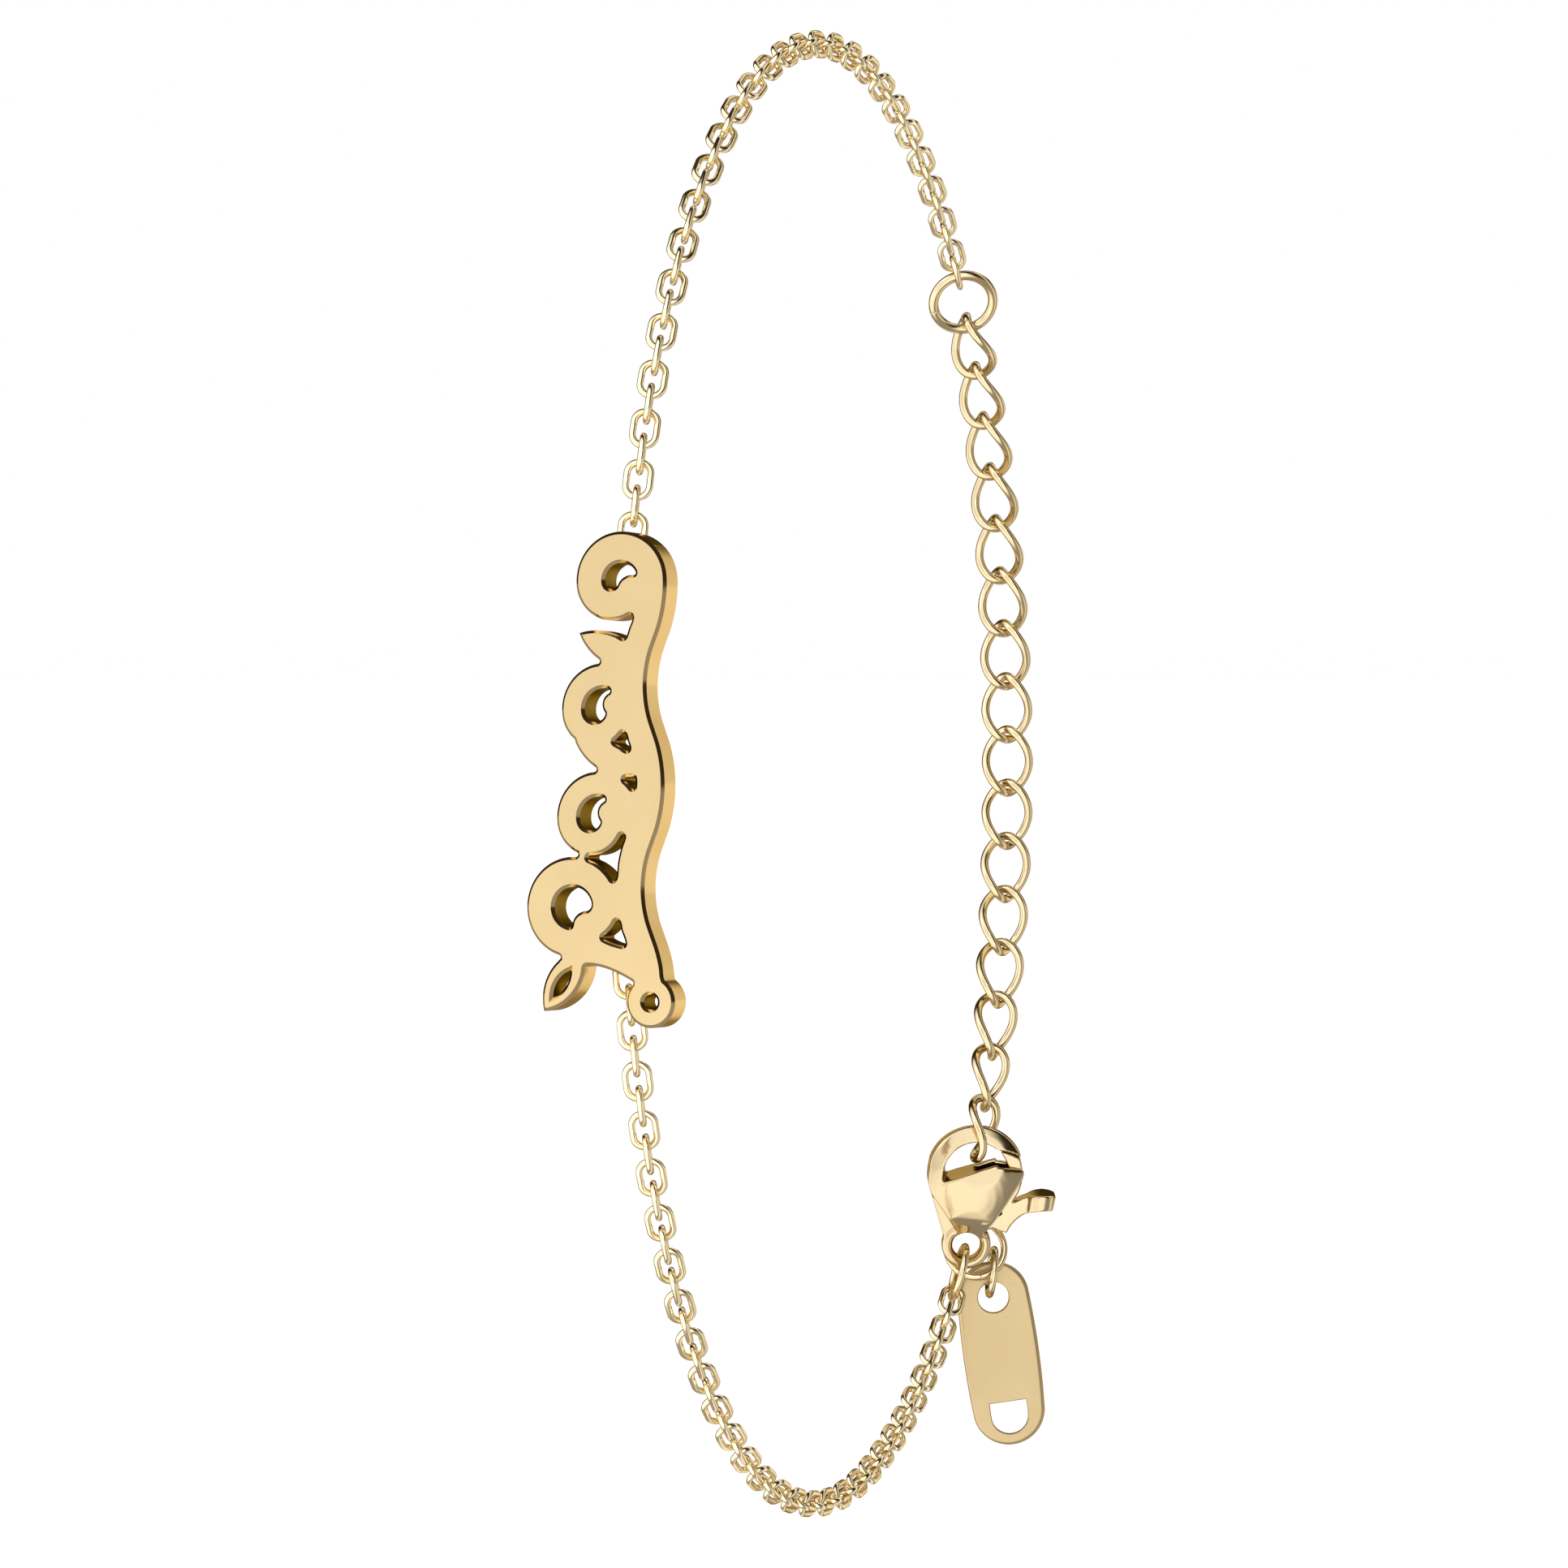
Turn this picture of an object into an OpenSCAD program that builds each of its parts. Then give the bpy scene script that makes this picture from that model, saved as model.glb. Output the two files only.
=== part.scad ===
// Nameplate bracelet, fastened into one standing loop.
// The loop lies in the YZ plane and the wrist goes through it along X.
// The plate is on the -Y side, the extender chain and the clasp are on the +Y side.

/* [Loop] */
// Height of the loop along the chain's middle line
loop_height = 76.6; // [74:0.2:84]
// Depth of the loop along the chain's middle line
loop_depth = 56; // [52:0.2:62]
// Height of the jump ring above the loop's middle
jump_ring_rise = 26.1; // [24:0.1:28]

/* [Nameplate] */
// Thickness of the plate
plate_thickness = 1.65; // [1.3:0.05:2]
// Radius of the small fillets in the plate's inner corners
plate_fillet = 0.12; // [0.05:0.01:0.2]
// Width of the stem's stroke
stem_width = 1.5; // [1.2:0.05:1.8]
// Width of the large volute's stroke
base_volute_width = 1.45; // [1.2:0.05:1.7]
// Width of the small volutes' strokes
volute_width = 1.2; // [1:0.05:1.3]
// Radius of the round foot at the stem's lower end
foot_radius = 1.25; // [1:0.05:1.5]
// Radius of the eye pierced through the foot
foot_eye_radius = 0.36; // [0.2:0.02:0.5]
// Height of the upper eyelet on the plate
upper_eyelet_height = 11.3; // [11:0.05:11.6]
// Height of the lower eyelet on the plate
lower_eyelet_height = -8.5; // [-8.7:0.05:-8.2]
// Wire of the eyelets behind the plate
eyelet_wire = 0.4; // [0.35:0.01:0.5]
// Radius of the eyelets' wire line
eyelet_radius = 0.55; // [0.5:0.01:0.7]

/* [Cable chain] */
// Wire of the fine links
cable_wire = 0.34; // [0.26:0.01:0.36]
// Outer width of the fine links
cable_width = 1.5; // [1.4:0.02:1.8]
// Mean distance from one fine link to the next
cable_pitch = 1.24; // [1.2:0.01:1.4]
// Side from which every second link shows its full face, in degrees from the front
cable_view = 21; // [10:1:40]
// Share by which the links lie closer together away from the plate
cable_slack = 0.08; // [0:0.01:0.1]

/* [Extender] */
// Outer diameter of the jump ring
jump_ring_diameter = 3.9; // [3.6:0.1:4.6]
// Wire of the jump ring
jump_ring_wire = 0.55; // [0.45:0.01:0.65]
// Number of curb links
curb_links = 16; // [14:1:17]
// Distance from one curb link to the next
curb_pitch = 3.05; // [2.9:0.05:3.2]
// Outer width of the curb links before their twist
curb_width = 2.95; // [2.8:0.05:3.3]
// Wire of the curb links
curb_wire = 0.48; // [0.4:0.01:0.52]
// Twist of each curb link from end to end
curb_twist = 90; // [70:1:100]

/* [Clasp] */
// Outer radius of the clasp's hook
hook_radius = 2.75; // [2.5:0.05:3]
// Height of the hook's centre above the base eye's centre
hook_height = 4.2; // [4:0.05:4.6]
// Radius of the opening at the clasp's front
hook_opening_front = 2; // [1.8:0.05:2.1]
// Radius of the opening at the clasp's back
hook_opening_back = 1.6; // [1.5:0.05:1.8]
// Thickness of the clasp at its middle
clasp_thickness = 2.7; // [2.4:0.05:3]
// Radius of the clasp's domed faces
clasp_dome = 7.5; // [7:0.1:12]
// Thickness of the hook at its top
hook_top_thickness = 0.7; // [0.6:0.05:0.8]
// Half width of the clasp's neck above its base eye
neck_radius = 1.1; // [1:0.05:1.3]
// Outer radius of the base eye
base_eye_outer = 1.4; // [1.3:0.05:1.6]
// Radius of the base eye's hole
base_eye_hole = 0.8; // [0.75:0.01:0.9]
// Thickness of the base eye
base_eye_thickness = 1.1; // [1:0.05:1.2]
// Thickness of the lever inside the clasp
lever_thickness = 1; // [0.8:0.05:1.1]
// Thickness of the lever's horn, seen from the front
horn_thickness = 0.9; // [0.7:0.05:1]
// Width of the lever's thumb tab
tab_width = 1.9; // [1.5:0.05:2.2]
// Radius of the lever's hub
hub_radius = 0.75; // [0.65:0.05:0.8]
// Radius of the lever's pivot pin
pin_radius = 0.3; // [0.25:0.01:0.34]
// Gap round the pin inside the lever's hub
pin_clearance = 0.06; // [0.04:0.01:0.08]

/* [Rings and tag] */
// Outer diameter of the ring between the clasp and the lower chain
chain_ring_diameter = 3.4; // [3.3:0.05:3.6]
// Wire of the chain ring
chain_ring_wire = 0.42; // [0.38:0.01:0.44]
// Outer diameter of the ring that joins the tag's ring to the chain ring
link_ring_diameter = 3.7; // [3.6:0.05:3.8]
// Outer diameter of the ring through the tag
tag_ring_diameter = 3; // [2.9:0.05:3.2]
// Wire of the tag's two rings
tag_ring_wire = 0.4; // [0.36:0.01:0.42]
// Length of the tag
tag_length = 10.5; // [9:0.1:12]
// Width of the tag
tag_width = 4.05; // [3.9:0.05:4.3]
// Thickness of the tag
tag_thickness = 0.5; // [0.4:0.05:0.6]
// Radius of the tag's round upper hole
tag_hole_radius = 0.88; // [0.8:0.02:0.92]
// Width of the tag's D-shaped lower hole
tag_window_width = 2.1; // [1.8:0.05:2.3]
// Height of the straight part of the D-shaped hole
tag_window_height = 0.8; // [0.5:0.05:1]
// Distance from the tag's lower end to the centre of the D-shaped hole's round side
tag_window_inset = 1.65; // [1.5:0.05:1.9]

/* [Hidden] */
clearance = 0.1;
wire_sides = 48;
round_sides = 96;
outline_sides = 48;
fillet_sides = 16;
arc_step = 7.5; // degrees
curb_steps = 20;
curb_sides = 6;
gold = [0.86, 0.72, 0.45];
pale_gold = [0.90, 0.78, 0.54];
deep_gold = [0.78, 0.62, 0.35];

// Middle line of the loop: an upright oval, with the angle 0 at the plate and 90 at the top
loop_steps = 720;
function loop_point(angle) =
    [0, -loop_depth / 2 * cos(angle), loop_height / 2 * sin(angle)];
function loop_direction(angle) =
    unit([0, loop_depth / 2 * sin(angle), loop_height / 2 * cos(angle)]);
function unit(v) = v / norm(v);

// Rows of [length along the line, angle], from the first angle to the last
function length_rows(points) = [
    for (i = 0, run = 0; i < len(points);
        run = run + (i + 1 < len(points) ? norm(points[i + 1][1] - points[i][1]) : 0), i = i + 1)
        [run, points[i][0]]
];
function flipped(rows) = [for (row = rows) [row[1], row[0]]];

loop_rows = length_rows([for (i = [0 : loop_steps])
    let (angle = 360 * i / loop_steps) [angle, loop_point(angle)]]);
loop_lengths = flipped(loop_rows);
function angle_at(run) = lookup(run, loop_rows);
function length_at(angle) = lookup(angle, loop_lengths);

// Puts a link that was made round the origin, with its length along Z, on a line
module aim(point, direction, roll = 0, across = [1, 0, 0]) {
    inward = unit(cross(direction, across));
    across = cross(inward, direction);
    multmatrix([
        [across.x, inward.x, direction.x, point.x],
        [across.y, inward.y, direction.y, point.y],
        [across.z, inward.z, direction.z, point.z]
    ]) rotate([0, 0, roll]) children();
}
module on_loop(run, roll = 0)
    aim(loop_point(angle_at(run)), loop_direction(angle_at(run)), roll) children();

// Wire pieces
module wire_ring(radius, wire)
    rotate_extrude($fn = round_sides) translate([radius, 0]) circle(d = wire, $fn = wire_sides);

module oval_link(length, width, wire) {
    radius = (width - wire) / 2;
    straight = length - width;
    for (end = [0, 1]) mirror([0, 0, end]) translate([0, 0, straight / 2])
        rotate([90, 0, 0]) rotate_extrude(angle = 180, $fn = round_sides)
            translate([radius, 0]) circle(d = wire, $fn = wire_sides);
    for (side = [-1, 1]) translate([side * radius, 0, -straight / 2])
        cylinder(h = straight, d = wire, $fn = wire_sides);
}

// Cable chain: each link stands square to the next, and every second one faces one side
cable_side = [sin(cable_view), -cos(cable_view), 0];
module aim_sideways(point, direction, roll = 0)
    aim(point, direction, roll, cross(direction, cable_side)) children();
cable_line = cable_pitch * (1 + cable_slack) + cable_wire + clearance;
cable_length = cable_line + cable_wire;
// Number of steps between the first and the last link, odd or even as their ends need
function link_steps(span, odd) = 2 * ceil((span / cable_pitch - odd) / 2) + odd;
// Place of a link as a share of the span, taut at the plate and closer at the far end
function eased(share) = share + cable_slack * share * (1 - share);
module cable_link() oval_link(cable_length, cable_width, cable_wire);

// Nameplate, drawn in its own plane with x to the right, y up and z towards the front
upper_eyelet_angle = asin(2 * upper_eyelet_height / loop_height);
lower_eyelet_angle = asin(2 * lower_eyelet_height / loop_height);
upper_eyelet_point = loop_point(upper_eyelet_angle);
lower_eyelet_point = loop_point(lower_eyelet_angle);
plate_lean = atan2(upper_eyelet_point.y - lower_eyelet_point.y,
    upper_eyelet_point.z - lower_eyelet_point.z);
eyelet_depth = 0.42;
volute_turns = [[1.6, 190], [1.15, 150], [0.7, 60]];

// Each stroke has a width, a start, a heading and turns; a turn is [radius, angle],
// left turns are positive, and [0, length] is a straight run
strokes = [
    // [width, [x, y], heading, turns]
    [stem_width, [2.1, -10.3], 90,
        [[7, 24], [6.2, -47], [6.2, 46], [6.2, -46], [6.2, 25], [1.6, 185], [1.1, 150]]],
    [base_volute_width, [1.9, -8.9], 163, [[0, 4.6], [1.7, -240], [1.05, -100]]],
    [volute_width, [0.9, -1.6], 90, volute_turns],
    [volute_width, [1.1, 3.6], 90, volute_turns]
];
leaves = [
    // [base, heading, length, width]
    [[-1.4, -7.9], 236, 3.7, 1.7],
    [[1.6, 0.5], 157, 3.9, 1.5],
    [[1.7, 5.6], 155, 3.9, 1.5]
];
foot_centre = [2.1, -10.4];
leaf_slot = [0.44, 0.3]; // share of the leaf's length and of its width

function after_turn(state, turn) = turn[0] == 0
    ? [state[0] + turn[1] * [cos(state[1]), sin(state[1])], state[1]]
    : let (
        side = sign(turn[1]),
        normal = side * turn[0] * [-sin(state[1]), cos(state[1])],
        heading = state[1] + turn[1]
    ) [state[0] + normal + side * turn[0] * [sin(heading), -cos(heading)], heading];
function states(start, turns) = [
    for (i = 0, state = start; i <= len(turns);
        state = i < len(turns) ? after_turn(state, turns[i]) : state, i = i + 1) state
];

// Part of a flat ring, in degrees from X
module arc_band_2d(inner, outer, from, swing) {
    steps = ceil(swing / arc_step);
    polygon(concat(
        [for (i = [0 : steps]) let (angle = from + swing * i / steps)
            outer * [cos(angle), sin(angle)]],
        [for (i = [steps : -1 : 0]) let (angle = from + swing * i / steps)
            inner * [cos(angle), sin(angle)]]));
}
module stroke(width, start, heading, turns) {
    path = states([start, heading], turns);
    for (i = [0 : len(turns) - 1]) {
        radius = turns[i][0];
        swing = turns[i][1];
        at = path[i][0];
        aimed = path[i][1];
        if (radius == 0) {
            translate(at) rotate(aimed) translate([0, -width / 2]) square([swing, width]);
        } else {
            side = sign(swing);
            translate(at + side * radius * [-sin(aimed), cos(aimed)])
                arc_band_2d(radius - width / 2, radius + width / 2,
                    side > 0 ? aimed - 90 : aimed + 90 + swing, abs(swing));
        }
    }
    for (place = [path[0][0], path[len(turns)][0]]) translate(place)
        circle(d = width, $fn = outline_sides);
}

// Pointed leaf: what two large discs have in common
module leaf(base, heading, length, width) {
    radius = (length * length + width * width) / (4 * width);
    half_angle = asin(length / 2 / radius);
    steps = ceil(2 * half_angle / arc_step);
    translate(base) rotate(heading) translate([length / 2, 0])
        polygon([for (side = [-1, 1], i = [1 : steps])
            let (angle = half_angle * (1 - 2 * i / steps))
                side * [radius * sin(-angle), radius * cos(angle) - radius + width / 2]]);
}
module leaf_slot_cut(base, heading, length, width)
    translate(0.34 * length * [cos(heading), sin(heading)])
        leaf(base, heading, length * leaf_slot[0], width * leaf_slot[1]);

module plate_outline() difference() {
    offset(r = -plate_fillet, $fn = fillet_sides) offset(r = plate_fillet, $fn = fillet_sides) {
        for (row = strokes) stroke(row[0], row[1], row[2], row[3]);
        for (row = leaves) leaf(row[0], row[1], row[2], row[3]);
        translate(foot_centre) circle(r = foot_radius, $fn = outline_sides);
    }
    translate(foot_centre) circle(r = foot_eye_radius, $fn = outline_sides);
    leaf_slot_cut(leaves[0][0], leaves[0][1], leaves[0][2], leaves[0][3]);
}

module eyelet(height)
    translate([0, height, -plate_thickness / 2 - eyelet_depth])
        rotate([0, 90, 0]) wire_ring(eyelet_radius, eyelet_wire);

module nameplate() color(pale_gold)
    translate((upper_eyelet_point + lower_eyelet_point) / 2) rotate([90 - plate_lean, 0, 0])
        translate([0, -(upper_eyelet_height + lower_eyelet_height) / 2,
            plate_thickness / 2 + eyelet_depth]) {
            linear_extrude(plate_thickness, center = true) plate_outline();
            eyelet(upper_eyelet_height);
            eyelet(lower_eyelet_height);
        }

// Jump ring
jump_ring_line = (jump_ring_diameter - jump_ring_wire) / 2;
jump_ring_run = length_at(180 - asin(2 * jump_ring_rise / loop_height));
jump_ring_angle = angle_at(jump_ring_run);
module jump_ring() color(deep_gold)
    aim_sideways(loop_point(jump_ring_angle), loop_direction(jump_ring_angle))
        rotate([90, 0, 0]) wire_ring(jump_ring_line, jump_ring_wire);

// Upper chain, from the upper eyelet to the jump ring
upper_first = length_at(upper_eyelet_angle) + cable_line / 2;
upper_last = jump_ring_run - jump_ring_line + jump_ring_wire / 2 + 1.5 * clearance
    + cable_wire / 2 - cable_line / 2;
upper_steps = link_steps(upper_last - upper_first, 1);
module upper_chain() color(gold)
    for (i = [0 : upper_steps]) {
        angle = angle_at(upper_first + (upper_last - upper_first) * eased(i / upper_steps));
        aim_sideways(loop_point(angle), loop_direction(angle), 90 * (i % 2)) cable_link();
    }

// Extender: a curb link is an oval ring whose plane turns from one end to the other
curb_line = curb_pitch + curb_wire + clearance;
curb_across = curb_width - curb_wire;
// Roll of the links about the chain, as rows of [link, degrees from X towards the inside]
curb_rolls = [[0, 24], [4, 10], [8, -18], [12, -48], [15, -92]];
function curb_point(turn) = let (plane = -curb_twist / 2 * cos(turn))
    [curb_across / 2 * sin(turn) * cos(plane), curb_across / 2 * sin(turn) * sin(plane),
        curb_line / 2 * cos(turn)];
function curb_outward(turn) = let (plane = -curb_twist / 2 * cos(turn))
    [sin(turn) * cos(plane), sin(turn) * sin(plane), cos(turn)];

module curb_link() {
    turns = [for (i = [0 : curb_steps - 1]) 360 * i / curb_steps];
    points = [for (turn = turns)
        let (
            along = unit(curb_point(turn + 1) - curb_point(turn - 1)),
            side = unit(curb_outward(turn) - (curb_outward(turn) * along) * along),
            up = cross(along, side)
        )
        for (j = [0 : curb_sides - 1])
            let (corner = 360 * j / curb_sides)
                curb_point(turn) + curb_wire / 2 * (cos(corner) * side + sin(corner) * up)
    ];
    faces = [for (i = [0 : curb_steps - 1], j = [0 : curb_sides - 1])
        let (
            here = i * curb_sides,
            next = (i + 1) % curb_steps * curb_sides,
            k = (j + 1) % curb_sides
        )
        each [[here + j, next + j, next + k], [here + j, next + k, here + k]]
    ];
    polyhedron(points, faces);
}

curb_first = jump_ring_run + jump_ring_line - jump_ring_wire / 2 - 1.4 * clearance
    - curb_wire / 2 + curb_line / 2;
module extender_link(i) color(gold)
    on_loop(curb_first + i * curb_pitch, lookup(i, curb_rolls)) curb_link();

curb_last = curb_first + (curb_links - 1) * curb_pitch;

// Clasp, drawn in its own frame: x to the right, z up and the front towards -y,
// with its origin at the base eye's centre
clasp_turn = [10, 6.7, 25];
hook_slack = 0.75;
function turned(v) = let (
    a = [v.x, v.y * cos(clasp_turn.x) - v.z * sin(clasp_turn.x),
        v.y * sin(clasp_turn.x) + v.z * cos(clasp_turn.x)],
    b = [a.x * cos(clasp_turn.y) + a.z * sin(clasp_turn.y), a.y,
        a.z * cos(clasp_turn.y) - a.x * sin(clasp_turn.y)]
) [b.x * cos(clasp_turn.z) - b.y * sin(clasp_turn.z),
    b.x * sin(clasp_turn.z) + b.y * cos(clasp_turn.z), b.z];
hook_top = hook_height + (hook_opening_front + hook_opening_back) / 2;
hook_point = loop_point(angle_at(curb_last + curb_line / 2 - curb_wire / 2 - hook_slack));
base_eye_point = hook_point - turned([0, 0, hook_top]);
module in_clasp() translate(base_eye_point) rotate(clasp_turn) children();
module slab(thickness) rotate([90, 0, 0]) linear_extrude(thickness, center = true) children();

slot_thickness = lever_thickness + 2 * clearance;
pivot = [0.85, 1.75];
cheek_edge = [4.5, 24]; // height at the middle and slope of the cheeks' upper edge
mouth_floor = 4.85;
mouth_depth = 1.1;
tip_reach = 4.05; // distance from the pivot to the hook's tip

module clasp_outline() {
    lean = -asin((hook_radius - neck_radius) / hook_height);
    outward = [cos(lean), sin(lean)];
    low = neck_radius * outward;
    high = [0, hook_height] + hook_radius * outward;
    translate([0, hook_height]) circle(r = hook_radius, $fn = round_sides);
    intersection() {
        polygon([low, high, [-high.x, high.y], [-low.x, low.y]]);
        translate([-hook_radius, 0.45]) square(2 * hook_radius);
    }
}
module dome(side) translate([0, side * (clasp_thickness / 2 - clasp_dome), hook_height - 1.2])
    rotate([90, 0, 0]) sphere(r = clasp_dome, $fn = round_sides);
// Side of the clasp: the hook gets thinner towards its top
side_shares = [[-2, 0.37], [0.5, 0.37], [0.9, 0.54], [1.3, 0.72], [1.8, 0.88], [2.4, 1],
    [3.4, 1], [4, 0.9], [4.6, 0.78], [5.1, 0.66], [5.6, 0.54], [6.1, 0.43], [6.5, 0.36]];
module side_outline() rotate([90, 0, 90]) linear_extrude(4 * hook_radius, center = true) {
    half = concat([for (row = side_shares) [clasp_thickness / 2 * row[1], row[0]]],
        [[hook_top_thickness / 2, hook_height + hook_radius + clearance]]);
    polygon(concat([for (corner = half) corner],
        [for (i = [len(half) - 1 : -1 : 0]) [-half[i].x, half[i].y]]));
}
module base_eye() rotate([90, 0, 0]) rotate_extrude($fn = round_sides) {
    half = base_eye_thickness / 2;
    round = 0.2;
    polygon([[base_eye_hole, round - half], [base_eye_hole + round, -half],
        [base_eye_outer - round, -half], [base_eye_outer, round - half],
        [base_eye_outer, half - round], [base_eye_outer - round, half],
        [base_eye_hole + round, half], [base_eye_hole, half - round]]);
}
// What the hook holds: a flared round opening, closed below by the cheeks' slanting edge
module hook_opening() intersection() {
    translate([0, 0, hook_height]) rotate([90, 0, 0])
        cylinder(h = clasp_thickness + 0.4, r1 = hook_opening_back, r2 = hook_opening_front,
            center = true, $fn = round_sides);
    translate([0, 0, cheek_edge[0]]) rotate([0, -cheek_edge[1], 0])
        translate([-hook_radius, -clasp_thickness, 0])
            cube([2 * hook_radius, 2 * clasp_thickness, hook_radius]);
}
// What lies below the hook's tip, on an arc round the lever's pivot
module below_tip() translate([pivot.x, 0, pivot.y]) rotate([90, 0, 0])
    cylinder(h = 2 * clasp_thickness, r = tip_reach, center = true, $fn = round_sides);
// The gap that the gate closes, between the cheeks and the hook's tip
module mouth() intersection() {
    slab(2 * clasp_thickness) translate([mouth_depth, mouth_floor])
        square([hook_radius, hook_radius]);
    below_tip();
}
// The slot between the cheeks, in which the lever turns
module lever_slot() intersection() {
    edge = hub_radius + 1.5 * clearance;
    slab(slot_thickness) translate(pivot - [edge, edge]) square(3 * hook_radius);
    below_tip();
}
// What is cut away beside the cheeks, which narrow towards the neck: on the right all
// of it, where the lever comes out, and on the left all but a web in the middle
cheek_face = [[0.9, 0], [-0.75, 0], [-0.75, 0.9], [-1.5, 1.9], [-2.7, 3.2], [-2.7, 6], [2.7, 6], [2.7, 4.4], [0.9, 0.9]];
web_thickness = 0.8;
module cheek_flanks() difference() {
    linear_extrude(mouth_floor) {
        for (side = [-1, 1])
            translate([-hook_radius, side * (clasp_thickness + web_thickness) / 2])
                square([2 * hook_radius, clasp_thickness], center = true);
        translate([0, -clasp_thickness]) square([2 * hook_radius, 2 * clasp_thickness]);
    }
    slab(3 * clasp_thickness) polygon(cheek_face);
}
module clasp_body() color(pale_gold) in_clasp() {
    difference() {
        union() {
            difference() {
                intersection() {
                    slab(clasp_thickness) clasp_outline();
                    dome(1);
                    dome(-1);
                    side_outline();
                }
                cheek_flanks();
            }
            base_eye();
        }
        hook_opening();
        mouth();
        lever_slot();
        rotate([90, 0, 0]) cylinder(h = 2 * clasp_thickness, r = base_eye_hole,
            center = true, $fn = round_sides);
    }
    translate([pivot.x, 0, pivot.y]) rotate([90, 0, 0])
        cylinder(h = clasp_thickness - 0.5, r = pin_radius, center = true, $fn = wire_sides);
}

// Lever: a gate that follows the hook, a hub on the pin and a horn with the thumb tab
gate_reach = [-50, 48];
horn_centre = [4.3, 0.4];
horn_radius = 2.65;
horn_reach = [83, 165];
tab_from = 3.2;
tab_full = 3.8;
tab_end = 4.85;
module arc_band(centre, inner, outer, reach, width)
    translate([centre.x, 0, centre.y]) rotate([90, 0, 0]) rotate([0, 0, reach[0]])
        rotate_extrude(angle = reach[1] - reach[0], $fn = round_sides)
            translate([inner, -width / 2]) square([outer - inner, width]);
module clasp_lever() color(gold) in_clasp() difference() {
    union() {
        intersection() {
            arc_band([0, hook_height], (hook_opening_front + hook_opening_back) / 2
                + clearance / 2, hook_radius - clearance, gate_reach, lever_thickness);
            translate([pivot.x, 0, pivot.y]) rotate([90, 0, 0])
                cylinder(h = clasp_thickness, r = tip_reach - clearance, center = true,
                    $fn = round_sides);
        }
        translate([pivot.x, 0, pivot.y]) slab(lever_thickness)
            circle(r = hub_radius, $fn = round_sides);
        intersection() {
            arc_band(horn_centre, horn_radius - horn_thickness / 2,
                horn_radius + horn_thickness / 2, horn_reach, tab_width);
            union() {
                half = lever_thickness / 2;
                wide = tab_width / 2;
                linear_extrude(2 * hook_height) polygon([[0, -half], [tab_from, -half],
                    [tab_full, -wide], [tab_end - wide, -wide], [tab_end - wide, wide],
                    [tab_full, wide], [tab_from, half], [0, half]]);
                translate([tab_end - wide, 0, 0])
                    cylinder(h = 2 * hook_height, r = wide, $fn = round_sides);
            }
        }
    }
    translate([pivot.x, 0, pivot.y]) rotate([90, 0, 0])
        cylinder(h = clasp_thickness, r = pin_radius + pin_clearance,
            center = true, $fn = wire_sides);
}

// Chain ring: it goes through the base eye and hangs to the left and towards the plate
chain_ring_hang = [8.5, 35]; // swing to the left and tilt to the front
chain_ring_line = (chain_ring_diameter - chain_ring_wire) / 2;
eye_wire_reach = norm([base_eye_thickness / 2 - 0.2, (base_eye_outer - base_eye_hole) / 2]) + 0.08;
down = [-sin(chain_ring_hang[0]), 0, -cos(chain_ring_hang[0])];
chain_ring_down = cos(chain_ring_hang[1]) * down - [0, sin(chain_ring_hang[1]), 0];
chain_ring_centre = (base_eye_outer + base_eye_hole) / 2 * down
    + (chain_ring_line - chain_ring_wire / 2 - clearance - eye_wire_reach) * chain_ring_down;
module chain_ring() color(gold) in_clasp() translate(chain_ring_centre)
    rotate([0, chain_ring_hang[0], 0]) rotate([0, 90, 0])
        wire_ring(chain_ring_line, chain_ring_wire);

// Lower chain: it starts at the chain ring and bends smoothly over to the loop's middle line
lower_start = base_eye_point + turned(chain_ring_centre + (chain_ring_line
    - chain_ring_wire / 2 - 1.3 * clearance - cable_wire / 2) * chain_ring_down);
lower_angle = 180 + asin(-2 * lower_start.z / loop_height);
lower_bend = 36;
function fading(share) = share >= 1 ? 0 : (1 - share) * (1 - share) * (1 + 2 * share);
function lower_point(angle) = loop_point(angle)
    + fading((angle - lower_angle) / lower_bend) * (lower_start - loop_point(lower_angle));
function lower_direction(angle) = unit(lower_point(angle + 0.25) - lower_point(angle));
lower_rows = length_rows([for (i = [0 : loop_steps])
    let (angle = lower_angle + (360 + lower_eyelet_angle - lower_angle) * i / loop_steps)
        [angle, lower_point(angle)]]);
lower_first = cable_line / 2;
lower_last = lower_rows[loop_steps][0] - cable_line / 2;
lower_steps = link_steps(lower_last - lower_first, 0);
module lower_chain() color(gold)
    for (i = [0 : lower_steps]) {
        run = lower_last - (lower_last - lower_first) * eased(1 - i / lower_steps);
        angle = lookup(run, lower_rows);
        aim_sideways(lower_point(angle), lower_direction(angle), 90 * (i % 2)) cable_link();
    }

// The tag's two rings, in the clasp's frame
link_ring_place = [0.7, 1.2, -0.55];
link_ring_tilt = -28;
tag_ring_place = [1.8, 1.15, -1.8];
module tag_link_ring() color(gold) in_clasp() translate(link_ring_place)
    rotate([90 + link_ring_tilt, 0, 0])
        wire_ring((link_ring_diameter - tag_ring_wire) / 2, tag_ring_wire);
module tag_ring() color(gold) in_clasp() translate(tag_ring_place) rotate([0, 90, 0])
    wire_ring((tag_ring_diameter - tag_ring_wire) / 2, tag_ring_wire);

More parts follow.
